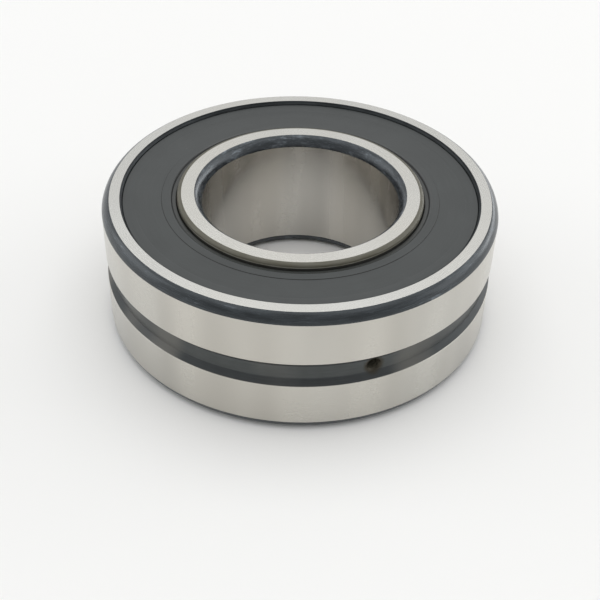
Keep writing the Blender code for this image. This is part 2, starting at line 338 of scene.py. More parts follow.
@dataclass(frozen=True)
class Finish:
    """A surface finish, which makes its own material. On its own it is plain and even.

    Its tone runs between a dark and a light share of its colour. In the finishes built on it, a
    value that ends in _rough tells how far that pattern swings the roughness.
    """

    name: str
    colour: Colour
    roughness: float
    seed: float = 0.0
    place: str = ""
    dark: float = 1.0
    light: float = 1.0

    def material(self) -> bpy.types.Material:
        """The finish's material, made the first time it is asked for."""
        found = bpy.data.materials.get(self.name)
        if found:
            return found
        material = bpy.data.materials.new(self.name)
        material.use_nodes = True
        material.diffuse_color = (*self.colour, 1.0)
        graph = Graph(material.node_tree)
        self.fill(graph, graph.round_place(self.place))
        return material

    def shade(self, share: float) -> Colour:
        """The finish's colour, darker or lighter by a share."""
        return tuple(min(1.0, part * share) for part in self.colour)

    def toned(self, graph: Graph, share: Signal) -> bpy.types.NodeSocket:
        """Colour between the finish's dark and light tones.

        Args:
            graph: Graph to fill.
            share: 0 for the dark tone, 1 for the light one.

        Returns:
            Socket of the colour.
        """
        return graph.mix(share, self.shade(self.dark), self.shade(self.light))

    def fill(self, graph: Graph, place: RoundPlace) -> None:
        """Add the finish's nodes.

        Args:
            graph: Graph to fill.
            place: Where a point lies on the piece.
        """
        graph.finish(Base_Color=self.colour, Roughness=self.roughness)


@dataclass(frozen=True)
class GroundSteel(Finish):
    """Bright steel, ground to size with fine marks round the axis."""

    mark_width: float = 0.07 * MM
    mark_reach: float = 0.05
    mark_depth: float = 0.0004 * MM
    mark_rough: float = 0.08
    cloud: float = 0.10
    band: float = 0.34
    band_reach: float = 0.28
    band_rough: float = 0.3
    warm: Colour = (0.60, 0.56, 0.49)
    warm_reach: float = 2.2
    warm_share: float = 0.35
    dark: float = 0.6
    light: float = 1.4

    def fill(self, graph: Graph, place: RoundPlace) -> None:
        """Add fine marks over soft bands of tone.

        Args:
            graph: Graph to fill.
            place: Where a point lies on the piece.
        """
        fine = place.marks(self.mark_width, self.mark_reach, self.seed)
        broad = place.bands(self.band_reach, seed=self.seed + 7.0)
        tone = self.cloud * fine.swing() + self.band * broad.swing()
        ground = self.toned(graph, tone + 0.5)
        tint = place.bands(self.warm_reach * self.band_reach, seed=self.seed + 2.0)
        rough = self.roughness + self.band_rough * self.band * broad.swing()
        graph.finish(
            Base_Color=graph.mix(self.warm_share * tint, ground, self.warm),
            Metallic=1.0,
            Roughness=rough + self.mark_rough * fine.swing(),
            Normal=graph.bump(fine, self.mark_depth),
        )


@dataclass(frozen=True)
class DarkSkin(Finish):
    """Blue-black skin that hardening leaves on turned steel, streaked along the tool's marks; the
    light streaks are partly worn skin and partly painted highlight.
    """

    streak: Colour = (0.24, 0.27, 0.30)
    streak_start: float = 0.56
    streak_rise: float = 0.14
    streak_share: float = 0.6
    mark_width: float = 0.16 * MM
    mark_depth: float = 0.005 * MM
    mark_rough: float = 0.20
    cloud_rough: float = 0.30
    sheen: float = 1.62
    sheen_tint: Colour = (0.88, 0.95, 1.0)
    metal: float = 0.12
    worn_metal: float = 0.5
    dark: float = 0.60
    light: float = 1.45

    def fill(self, graph: Graph, place: RoundPlace) -> None:
        """Add turning marks, with streaks and soft clouds where the skin is thinner; the light
        streaks are partly painted highlight.

        Args:
            graph: Graph to fill.
            place: Where a point lies on the piece.
        """
        width = self.mark_width
        turned = place.marks(width, reach=0.07, seed=self.seed)
        scuff_and_glint_marks = place.marks(2.5 * width, reach=0.05, seed=self.seed + 3.0, detail=4.0)
        clouds = place.marks(6 * width, reach=0.16, seed=self.seed + 5.0, detail=3.0)
        tone = graph.ease(turned.blend(clouds, 0.6), low=0.36, high=0.64)
        skin = self.toned(graph, tone)
        bright = self.streak_start + self.streak_rise
        # The light streak colour stands partly for worn skin and partly for painted highlight
        # streaks.
        worn_and_glint = graph.ease(scuff_and_glint_marks.blend(clouds, 0.4), low=self.streak_start, high=bright)
        rough = self.roughness + self.mark_rough * turned.swing()
        graph.finish(
            Base_Color=graph.mix(self.streak_share * worn_and_glint, skin, self.streak),
            Metallic=self.metal + self.worn_metal * worn_and_glint,
            Roughness=rough + self.cloud_rough * clouds.swing(),
            Normal=graph.bump(turned.blend(scuff_and_glint_marks, 0.4), self.mark_depth),
            IOR=self.sheen,
            Specular_Tint=self.sheen_tint,
        )


@dataclass(frozen=True)
class GroovedSkin(DarkSkin):
    """Dark skin of the lubrication groove, browned where oil has dried round its holes."""

    metal: float = 0.75
    mark_rough: float = 0.12
    stain_rough: float = 0.08
    stain: Colour = (0.042, 0.034, 0.020)
    stain_reach: float = 2.4 * MM
    stain_core: float = 0.62
    stain_fray: float = 0.9 * MM
    stain_share: float = 0.8
    # Lighter bands round the groove: partly rubbed skin and partly painted reflection.
    rubbed: Colour = (0.17, 0.165, 0.15)
    rubbed_and_reflection_share: float = 0.6
    rubbed_and_reflection_reach: float = 0.45
    dark: float = 0.86
    light: float = 1.16

    def fill(self, graph: Graph, place: RoundPlace) -> None:
        """Add matt grey skin with lighter bands that are partly rubbed skin and partly painted
        reflection, and a stain round each hole.

        Args:
            graph: Graph to fill.
            place: Where a point lies on the piece.
        """
        turned = place.marks(self.mark_width, reach=0.12, seed=self.seed)
        clouds = place.grain(4 * MM, seed=self.seed + 5.0)
        angle = graph.math("ARCTAN2", place.sine, place.cosine)
        half = math.pi / OIL_HOLES
        aside = graph.math("WRAP", angle - FIRST_OIL_HOLE, half, -half) * place.radius
        away = graph.math("SQRT", aside * aside + place.height * place.height)
        edge = away + self.stain_fray * clouds.swing()
        core = self.stain_core * self.stain_reach
        stained = 1 - graph.ease(edge, low=core, high=self.stain_reach)
        tone = graph.ease(turned.blend(clouds, 0.5), low=0.3, high=0.7)
        skin = self.toned(graph, tone)
        bands = place.bands(self.rubbed_and_reflection_reach, seed=self.seed + 9.0)
        bright = graph.ease(bands, low=0.55, high=0.95)
        skin = graph.mix(self.rubbed_and_reflection_share * bright, skin, self.rubbed)
        rough = self.roughness + self.mark_rough * turned.swing()
        graph.finish(
            Base_Color=graph.mix(self.stain_share * stained, skin, self.stain),
            Metallic=self.metal,
            Roughness=rough + self.stain_rough * stained,
            Normal=graph.bump(turned, self.mark_depth),
        )


@dataclass(frozen=True)
class GreasedSteel(Finish):
    """Steel under a thin yellow-green film of grease."""

    thick: Colour = (0.21, 0.195, 0.135)
    bare: float = 0.25
    film_width: float = 0.5 * MM
    film_depth: float = 0.004 * MM
    film_rough: float = 0.12

    def fill(self, graph: Graph, place: RoundPlace) -> None:
        """Add a film that gathers in uneven patches.

        Args:
            graph: Graph to fill.
            place: Where a point lies on the piece.
        """
        film = place.marks(self.film_width, reach=0.16, seed=self.seed, detail=3.0)
        gathered = graph.ease(film, low=0.40, high=0.68)
        graph.finish(
            Base_Color=graph.mix(gathered, self.colour, self.thick),
            Metallic=self.bare,
            Roughness=self.roughness + self.film_rough * film.swing(),
            Normal=graph.bump(film, self.film_depth),
        )


@dataclass(frozen=True)
class MouldedRubber(Finish):
    """Dark grey rubber with the fine grain of its mould."""

    dust: Colour = (0.20, 0.21, 0.21)
    dust_share: float = 0.7
    gloss: float = 0.5
    cloud_rough: float = 0.10
    grain_rough: float = 0.08
    dark: float = 0.90
    light: float = 1.10

    def fill(self, graph: Graph, place: RoundPlace) -> None:
        """Add fine grain, faint mould marks and a little dust.

        Args:
            graph: Graph to fill.
            place: Where a point lies on the piece.
        """
        grain = place.grain(0.22 * MM, seed=self.seed)
        clouds = place.grain(7 * MM, seed=self.seed + 4.0)
        moulded = place.marks(0.35 * MM, reach=0.35, seed=self.seed + 6.0)
        tone = 0.45 * clouds + 0.30 * moulded + 0.25 * grain
        base = self.toned(graph, graph.ease(tone, low=0.35, high=0.65))
        dusty = place.grain(0.7 * MM, seed=self.seed + 8.0, detail=1.0)
        specks = graph.ease(dusty, low=0.80, high=0.86)
        rough = self.roughness + self.cloud_rough * clouds.swing()
        graph.finish(
            Base_Color=graph.mix(self.dust_share * specks, base, self.dust),
            Roughness=rough + self.grain_rough * grain.swing(),
            Normal=graph.bump(grain.blend(moulded, 0.3), GRAIN_DEPTH),
            Specular_IOR_Level=self.gloss,
        )


@dataclass(frozen=True)
class PressedSteel(Finish):
    """Sheet steel with a matt phosphated skin and rubbed spots."""

    rubbed: Colour = (0.42, 0.41, 0.38)
    metal: float = 0.9
    grain_rough: float = 0.15
    rubbed_rough: float = 0.10

    def fill(self, graph: Graph, place: RoundPlace) -> None:
        """Add matt grain with brighter rubbed patches.

        Args:
            graph: Graph to fill.
            place: Where a point lies on the piece.
        """
        grain = place.grain(0.25 * MM, seed=self.seed)
        patches = place.grain(3 * MM, seed=self.seed + 2.0)
        bright = graph.ease(patches, low=0.52, high=0.72)
        rough = self.roughness + self.grain_rough * grain.swing()
        graph.finish(
            Base_Color=graph.mix(bright, self.colour, self.rubbed),
            Metallic=self.metal,
            Roughness=rough - self.rubbed_rough * patches.swing(),
            Normal=graph.bump(grain, GRAIN_DEPTH),
        )


class Skin(Enum):
    """The bearing's surface finishes."""

    FACE = GroundSteel(
        "ground ring face", (0.70, 0.70, 0.67), 0.27, seed=1.0,
        mark_depth=0.0002 * MM, cloud=0.03, band=0.04, warm=(0.68, 0.66, 0.61),
    )
    INNER_FACE = GroundSteel(
        "ground inner ring face", (0.72, 0.71, 0.67), 0.27, seed=4.0,
        mark_depth=0.0002 * MM, cloud=0.03, band=0.04, warm=(0.70, 0.67, 0.61),
    )
    # The outside is darker than the faces, and its seed lays strong soft bands darker in front:
    # partly the steel's own tone and partly painted reflection of a darker floor in front.
    OUTSIDE = GroundSteel("ground outside", (0.545, 0.535, 0.50), 0.24, seed=27.0)
    BORE = GroundSteel(
        "ground bore", (0.51, 0.495, 0.465), 0.25, seed=31.0, mark_depth=0.0002 * MM
    )
    TRACK = GroundSteel("honed track", (0.64, 0.63, 0.60), 0.14, seed=5.0, mark_width=0.05 * MM)
    ROLLER = GroundSteel("ground roller", (0.66, 0.66, 0.64), 0.15, seed=6.0, place=OWN_PLACE)
    ROLLER_END = GroundSteel(
        "turned roller end", (0.52, 0.52, 0.50), 0.28, seed=7.0, place=OWN_PLACE
    )
    CORNER = DarkSkin("blue-black corner", (0.022, 0.026, 0.029), 0.26, seed=8.0)
    # The bore corner is a lighter, more streaked copy of the corner skin: painted reflection,
    # brighter than the outer corner's.
    BORE_CORNER = DarkSkin(
        "blue-black bore corner", (0.033, 0.038, 0.043), 0.27, seed=8.0, streak_start=0.53
    )
    RECESS = DarkSkin("dark recess", (0.034, 0.038, 0.040), 0.40, seed=9.0, streak_start=0.68)
    # The recess's rounded edge takes a near-black, dull copy of the recess skin: painted shade of
    # the gap between seal and face.
    MOUTH_SHADE = DarkSkin(
        "dark recess edge", (0.014, 0.016, 0.018), 0.42, seed=9.0, streak_start=0.85, sheen=1.30
    )
    GUIDE = DarkSkin(
        "turned guide ring", (0.30, 0.29, 0.28), 0.38, seed=13.0, streak=(0.42, 0.41, 0.40)
    )
    GROOVE = GroovedSkin("dark groove", (0.074, 0.080, 0.080), 0.33, seed=10.0)
    # The groove's sloped walls take a darker copy of the groove skin: partly the dark turned skin
    # and partly painted shade of the lower wall.
    GROOVE_WALL = GroovedSkin("dark groove wall", (0.055, 0.060, 0.062), 0.44, seed=10.0)
    OIL_HOLE = GreasedSteel(
        "stained oil hole", (0.15, 0.14, 0.105), 0.50, seed=11.0, thick=(0.040, 0.036, 0.022)
    )
    EDGE = GreasedSteel(
        "greased ring edge", (0.115, 0.110, 0.085), 0.46, seed=18.0,
        thick=(0.085, 0.080, 0.055), bare=0.12,
    )
    GREASED = GreasedSteel("greased land", (0.34, 0.33, 0.285), 0.36, seed=12.0)
    # A dark copy of the greased steel on the land's lower part: grease darkened as painted shade
    # of the narrow gap under the seal lip.
    GREASE_IN_PAINTED_SHADE = GreasedSteel(
        "dark grease line", (0.052, 0.052, 0.047), 0.34, seed=17.0, thick=(0.034, 0.034, 0.029)
    )
    CAGE = PressedSteel("pressed cage sheet", (0.22, 0.22, 0.21), 0.48, seed=14.0)
    RUBBER = MouldedRubber("moulded seal rubber", (0.041, 0.046, 0.046), 0.36, seed=15.0)
    LIP = MouldedRubber(
        "greased seal lip", (0.045, 0.048, 0.046), 0.22, seed=16.0, dust=(0.05, 0.05, 0.05)
    )
    # Glossy rubber on the lip bevel: its low roughness gives a real highlight, and its lighter
    # colour is a painted highlight.
    GLINT = MouldedRubber("glossy seal edge with painted glint", (0.055, 0.060, 0.060), 0.13, seed=16.0)
    # Near-black skin on the seal's small step walls: painted shade in the lip line and the collar
    # line.
    LINE = Finish("dark seal line", (0.012, 0.013, 0.013), 0.60)


@dataclass(frozen=True)
class Knot:
    """A corner of a section, the skin of the surface that leaves it, and its fillet."""

    radius: float
    height: float
    skin: Skin
    fillet: float = 0.0


def arc(centre: Point, reach: Point, turns: Point, chords: int, skin: Skin) -> list[Knot]:
    """Points on an ellipse in the section.

    Args:
        centre: Radius and height of its centre.
        reach: Its half axes, outwards and upwards.
        turns: Angles of the first and the last point.
        chords: Number of straight steps.
        skin: Skin of the surface.

    Returns:
        Knots from the first up to, but without, the last point.
    """
    knots = []
    for step in range(chords):
        turn = turns[0] + (turns[1] - turns[0]) * step / chords
        out = centre[0] + reach[0] * math.cos(turn)
        knots.append(Knot(out, centre[1] + reach[1] * math.sin(turn), skin))
    return knots


def corner_arc(start: Point, end: Point, dip: float, skin: Skin) -> list[Knot]:
    """Rounded corner between two points, which starts and ends at an angle to its neighbours.

    Args:
        start: Radius and height at which the corner starts.
        end: Radius and height at which it ends.
        dip: Angle by which the arc falls short of a smooth quarter turn at each end.
        skin: Skin of the corner.

    Returns:
        Knots from the start up to, but without, the end.
    """
    span = math.cos(dip) - math.sin(dip)
    reach = (start[0] - end[0]) / span, (end[1] - start[1]) / span
    centre = start[0] - reach[0] * math.cos(dip), start[1] - reach[1] * math.sin(dip)
    return arc(centre, reach, (dip, QUARTER_TURN - dip), CORNER_CHORDS, skin)


def filleted(knots: list[Knot], closed: bool, chords: int = 4) -> list[Knot]:
    """Round the corners that ask for it.

    Args:
        knots: Corners of the section in order.
        closed: Whether the last corner leads back to the first.
        chords: Number of straight steps in a fillet.

    Returns:
        Corners in which each fillet is a run of short steps.
    """
    rounded = []
    for index, knot in enumerate(knots):
        at_end = not closed and index in (0, len(knots) - 1)
        if knot.fillet == 0.0 or at_end:
            rounded.append(knot)
            continue
        before = knots[index - 1]
        after = knots[(index + 1) % len(knots)]
        corner = Vector((knot.radius, knot.height))
        back = (Vector((before.radius, before.height)) - corner).normalized()
        on = (Vector((after.radius, after.height)) - corner).normalized()
        half = back.angle(on) / 2
        centre = corner + (back + on).normalized() * knot.fillet / math.sin(half)
        first = (corner + back * knot.fillet / math.tan(half) - centre).normalized()
        last = (corner + on * knot.fillet / math.tan(half) - centre).normalized()
        for step in range(chords + 1):
            point = centre + knot.fillet * first.slerp(last, step / chords)
            rounded.append(Knot(point.x, point.y, knot.skin))
    return rounded


def next_knots(knots: list[Knot], closed: bool) -> list[Knot]:
    """The knot that follows each one, round to the first in a closed section."""
    return knots[1:] + knots[:1] if closed else knots[1:]


def held(knots: list[Knot], closed: bool) -> list[Knot]:
    """Add a knot just inside each end of every long straight, so that it shades as a true flat.

    Args:
        knots: Corners of the section in order.
        closed: Whether the last corner leads back to the first.

    Returns:
        Corners with the added knots.
    """
    steadied = []
    for here, there in zip(knots, next_knots(knots, closed)):
        steadied.append(here)
        run = Vector((there.radius - here.radius, there.height - here.height))
        if run.length < HELD_LENGTH:
            continue
        for distance in (HOLD_DISTANCE, run.length - HOLD_DISTANCE):
            step = run.normalized() * distance
            steadied.append(Knot(here.radius + step.x, here.height + step.y, here.skin))
    return steadied if closed else steadied + knots[-1:]


def deselect() -> None:
    """Leave edit mode and select nothing."""
    if bpy.context.mode != "OBJECT":
        bpy.ops.object.mode_set(mode="OBJECT")
    bpy.ops.object.select_all(action="DESELECT")


class Workpiece:
    """A mesh that is shaped by hand with edit-mode operators."""

    body: bpy.types.Object

    def __init__(self, name: str, body: bpy.types.Object | None = None) -> None:
        """Name the piece.

        Args:
            name: Name of the finished object.
            body: Object to take over, if there is one already.
        """
        self.name = name
        if body:
            self.take(body)

    def take(self, body: bpy.types.Object) -> None:
        """Make an object this piece's body."""
        self.body = body
        body.name = body.data.name = self.name

    def select(self) -> None:
        """Make the piece the only selected and the active one."""
        deselect()
        bpy.context.view_layer.objects.active = self.body
        self.body.select_set(True)

    def begin(self, mode: str) -> bmesh.types.BMesh:
        """Enter edit mode with nothing selected.

        Args:
            mode: What is going to be selected.

        Returns:
            The mesh in edit mode.
        """
        self.select()
        bpy.ops.object.mode_set(mode="EDIT")
        bpy.ops.mesh.select_mode(type=mode)
        bpy.ops.mesh.select_all(action="DESELECT")
        return bmesh.from_edit_mesh(self.body.data)

    def draw(self, knots: list[Knot], closed: bool) -> None:
        """Draw a section in the XZ plane by pulling one point along it.

        Args:
            knots: Corners of the section in order.
            closed: Whether the last corner is joined to the first.
        """
        deselect()
        start = (knots[0].radius, 0.0, knots[0].height)
        bpy.ops.mesh.primitive_plane_add(size=SEED_SIZE, location=start)
        self.take(bpy.context.object)
        bpy.ops.object.mode_set(mode="EDIT")
        bpy.ops.mesh.select_mode(type="VERT")
        bpy.ops.mesh.select_all(action="SELECT")
        bpy.ops.mesh.merge(type="CENTER")
        for here, there in zip(knots, knots[1:]):
            pull = (there.radius - here.radius, 0.0, there.height - here.height)
            bpy.ops.mesh.extrude_vertices_move(TRANSFORM_OT_translate={"value": pull})
        if closed:
            shape = bmesh.from_edit_mesh(self.body.data)
            bpy.ops.mesh.select_all(action="DESELECT")
            shape.verts.ensure_lookup_table()
            for index in (0, -1):
                shape.verts[index].select = True
            shape.select_flush_mode()
            bpy.ops.mesh.edge_face_add()

    def turn(self, steps: int) -> None:
        """Spin the drawn section once about Z and close the seam.

        Args:
            steps: Number of steps in the full turn.
        """
        bpy.ops.mesh.select_all(action="SELECT")
        bpy.ops.mesh.spin(
            steps=steps, angle=FULL_TURN, center=(0.0, 0.0, 0.0), axis=(0.0, 0.0, 1.0)
        )
        self.close()
        bpy.ops.object.transform_apply(location=True, rotation=True, scale=True)

    def close(self) -> None:
        """Merge what lies together, point every face outwards and leave edit mode."""
        bpy.ops.mesh.select_all(action="SELECT")
        bpy.ops.mesh.remove_doubles(threshold=MERGE_DISTANCE)
        bpy.ops.mesh.normals_make_consistent(inside=False)
        bpy.ops.object.mode_set(mode="OBJECT")

    def skin(self, choose: Callable[[Vector], Skin | None]) -> None:
        """Give faces their skins.

        Args:
            choose: Gives a face's skin from its centre, or nothing to leave it as it is.
        """
        chosen: dict[Skin, list[int]] = {}
        shape = self.begin("FACE")
        for face in shape.faces:
            skin = choose(face.calc_center_median())
            if skin:
                chosen.setdefault(skin, []).append(face.index)
        slots = self.body.data.materials
        for skin, indices in chosen.items():
            material = skin.value.material()
            if material.name not in slots:
                slots.append(material)
            bpy.ops.mesh.select_all(action="DESELECT")
            shape = bmesh.from_edit_mesh(self.body.data)
            shape.faces.ensure_lookup_table()
            for index in indices:
                shape.faces[index].select = True
            bmesh.update_edit_mesh(self.body.data)
            self.body.active_material_index = slots.find(material.name)
            bpy.ops.object.material_slot_assign()
        bpy.ops.object.mode_set(mode="OBJECT")

    def turned(self, knots: list[Knot], steps: int, closed: bool = True) -> Workpiece:
        """Draw a section, turn it and give each band its skin.

        Args:
            knots: Corners of the section in order.
            steps: Number of steps in the full turn.
            closed: Whether the last corner is joined to the first.

        Returns:
            This piece.
        """
        knots = held(knots, closed)
        self.draw(knots, closed)
        self.turn(steps)
        bands = []
        for here, there in zip(knots, next_knots(knots, closed)):
            middle = (here.radius + there.radius) / 2, (here.height + there.height) / 2
            bands.append((Vector(middle), here.skin))
        known: dict[Point, Skin] = {}

        def band_skin(centre: Vector) -> Skin:
            """Find the band that a face lies on.

            Args:
                centre: Centre of the face.

            Returns:
                Skin of the band.
            """
            place = Vector((math.hypot(centre.x, centre.y), centre.z))
            key = (round(place.x / MERGE_DISTANCE), round(place.y / MERGE_DISTANCE))
            if key not in known:
                known[key] = min(bands, key=lambda band: (band[0] - place).length_squared)[1]
            return known[key]

        self.skin(band_skin)
        return self

    def mirrored(self) -> Workpiece:
        """Add the lower half, a mirror image of the upper one."""
        mirror = self.body.modifiers.new("Mirror", "MIRROR")
        mirror.use_axis = (False, False, True)
        mirror.merge_threshold = MERGE_DISTANCE
        self.apply(mirror)
        self.begin("VERT")
        self.close()
        return self

    def apply(self, modifier: bpy.types.Modifier) -> None:
        """Apply one of the piece's modifiers."""
        self.select()
        bpy.ops.object.modifier_apply(modifier=modifier.name)

    def cut(self, cutter: Workpiece) -> None:
        """Take a cutter's volume out of the piece and throw the cutter away.

        Args:
            cutter: Closed piece to cut with.
        """
        boolean = self.body.modifiers.new("Cut", "BOOLEAN")
        boolean.operation = "DIFFERENCE"
        boolean.solver = "EXACT"
        boolean.object = cutter.body
        self.apply(boolean)
        bpy.data.objects.remove(cutter.body)

    def place(self, matrix: Matrix) -> Workpiece:
        """Move the piece and keep its object at the origin.

        Args:
            matrix: Where the piece goes.

        Returns:
            This piece.
        """
        self.select()
        self.body.matrix_world = matrix
        bpy.ops.object.transform_apply(location=True, rotation=True, scale=True)
        return self

    def copied(self, name: str, matrix: Matrix) -> Workpiece:
        """Copy the piece, with its own mesh, to another place.

        Args:
            name: Name of the copy.
            matrix: Where the copy goes.

        Returns:
            The copy.
        """
        self.select()
        bpy.ops.object.duplicate(linked=False)
        return Workpiece(name, bpy.context.object).place(matrix)

    def remember_place(self, attribute: str) -> None:
        """Keep each point's place about the piece's own axis in its mesh.

        Args:
            attribute: Name of the mesh attribute.
        """
        mesh = self.body.data
        layer = mesh.attributes.new(attribute, "FLOAT_VECTOR", "POINT")
        places = [0.0] * (3 * len(mesh.vertices))
        mesh.vertices.foreach_get("co", places)
        layer.data.foreach_set("vector", places)

    def smooth(self) -> None:
        """Shade smooth up to the sharp edges."""
        self.select()
        bpy.ops.object.shade_smooth_by_angle(angle=SMOOTH_ANGLE)

    def seat(self, body: str, node: str, slot: str) -> None:
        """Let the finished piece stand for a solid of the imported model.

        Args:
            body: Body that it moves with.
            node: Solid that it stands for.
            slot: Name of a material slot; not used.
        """
        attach(self.body, body)
        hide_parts(node)
        log.info("%s: %d faces, rides on %s", self.name, len(self.body.data.polygons), body)


@dataclass
class OuterRing:
    """Outer ring with its lubrication groove, oil holes, seal recesses and spherical track."""

    radius: float = 40.0 * MM
    half_width: float = 14.0 * MM
    face_radius: float = 38.46 * MM
    corner_start: float = 12.0 * MM
    corner_dip: float = math.radians(20)
    groove_floor: float = 39.0 * MM
    groove_floor_half: float = 1.6 * MM
    groove_fillet: float = 0.45 * MM
    groove_half: float = 2.75 * MM
    groove_break: float = 0.08 * MM
    mouth_radius: float = 36.13 * MM
    mouth_round: float = 0.30 * MM
    wall_top: float = 13.77 * MM
    neck_radius: float = 35.90 * MM
    neck_height: float = 13.2 * MM
    neck_fillet: float = 0.12 * MM
    snap_radius: float = 36.45 * MM
    snap_top: float = 12.9 * MM
    snap_fillet: float = 0.10 * MM
    ledge_height: float = 11.9 * MM
    ledge_fillet: float = 0.20 * MM
    track_radius: float = 36.65 * MM
    hole_radius: float = 1.2 * MM
    hole_mouth: float = 1.5 * MM
    hole_steps: int = 32
    cutter_reach: Point = (1.0 * MM, 1.5 * MM)
    hole_margin: Point = (0.05 * MM, 0.02 * MM)

    def section(self) -> list[Knot]:
        """Upper half of the section, from the groove's floor over the face to the track."""
        edge = self.groove_break
        top = self.half_width
        share = (top - self.wall_top) / (top - self.neck_height)
        wall_radius = self.mouth_radius + share * (self.neck_radius - self.mouth_radius)
        track = self.track_radius, self.track_radius
        ledge_angle = math.asin(self.ledge_height / self.track_radius)
        knots = [
            Knot(self.groove_floor, 0.0, Skin.GROOVE),
            Knot(self.groove_floor, self.groove_floor_half, Skin.GROOVE_WALL, self.groove_fillet),
            Knot(self.radius - edge / 2, self.groove_half - edge / 2, Skin.OUTSIDE),
            Knot(self.radius, self.groove_half + edge / 4, Skin.OUTSIDE),
            *corner_arc(
                start=(self.radius, self.corner_start),
                end=(self.face_radius, top),
                dip=self.corner_dip,
                skin=Skin.CORNER,
            ),
            Knot(self.face_radius, top, Skin.FACE),
            # Painted shade on the recess's rounded edge.
            Knot(self.mouth_radius, top, Skin.MOUTH_SHADE, self.mouth_round),
            Knot(wall_radius, self.wall_top, Skin.RECESS),
            Knot(self.neck_radius, self.neck_height, Skin.RECESS, self.neck_fillet),
            Knot(self.snap_radius, self.snap_top, Skin.RECESS, self.snap_fillet),
            Knot(self.snap_radius, self.ledge_height, Skin.RECESS, self.ledge_fillet),
            *arc((0.0, 0.0), track, (ledge_angle, 0.0), TRACK_CHORDS, Skin.TRACK),
            Knot(self.track_radius, 0.0, Skin.TRACK),
        ]
        return filleted(knots, closed=False)

    def hole_azimuths(self) -> list[float]:
        """Angles about the axis at which the oil holes lie."""
        return [FIRST_OIL_HOLE + FULL_TURN * index / OIL_HOLES for index in range(OIL_HOLES)]

    def hole_bottom(self) -> float:
        """Radius at which a hole's countersink ends."""
        return self.groove_floor - self.hole_mouth + self.hole_radius

    def hole_cutter(self, index: int, azimuth: float) -> Workpiece:
        """Countersunk cutter for one oil hole.

        Args:
            index: Number of the hole.
            azimuth: Angle about the axis at which it lies.

        Returns:
            The cutter in its place.
        """
        beyond = self.radius + self.cutter_reach[0]
        inside = self.track_radius - self.cutter_reach[1]
        outline = [
            (0.0, beyond),
            (self.hole_mouth, beyond),
            (self.hole_mouth, self.groove_floor),
            (self.hole_radius, self.hole_bottom()),
            (self.hole_radius, inside),
            (0.0, inside),
        ]
        knots = [Knot(out, along, Skin.OIL_HOLE) for out, along in outline]
        cutter = Workpiece(f"oil_hole_cutter_{index + 1}")
        cutter.turned(knots, self.hole_steps, closed=False)
        around = Matrix.Rotation(azimuth, 4, "Z")
        return cutter.place(around @ Matrix.Rotation(QUARTER_TURN, 4, "Y"))

    def hole_skin(self, centre: Vector) -> Skin | None:
        """Skin of the faces inside an oil hole.

        Args:
            centre: Centre of a face.

        Returns:
            The hole's skin for a face on a hole's wall, and nothing elsewhere.
        """
        inside, outside = self.hole_margin
        radius = math.hypot(centre.x, centre.y)
        if not self.track_radius + inside < radius < self.groove_floor - outside:
            return None
        for azimuth in self.hole_azimuths():
            across = -centre.x * math.sin(azimuth) + centre.y * math.cos(azimuth)
            out = centre.x * math.cos(azimuth) + centre.y * math.sin(azimuth)
            if out > 0 and math.hypot(across, centre.z) < self.hole_mouth:
                return Skin.GROOVE if out > self.hole_bottom() else Skin.OIL_HOLE
        return None

    def build(self) -> None:
        """Turn the ring, drill its oil holes and seat it."""
        ring = Workpiece("ring_outer").turned(self.section(), RING_STEPS, closed=False)
        ring.mirrored()
        for index, azimuth in enumerate(self.hole_azimuths()):
            ring.cut(self.hole_cutter(index, azimuth))
        ring.skin(self.hole_skin)
        ring.smooth()
        ring.seat("outer_ring", "outer_ring", "ring_steel")


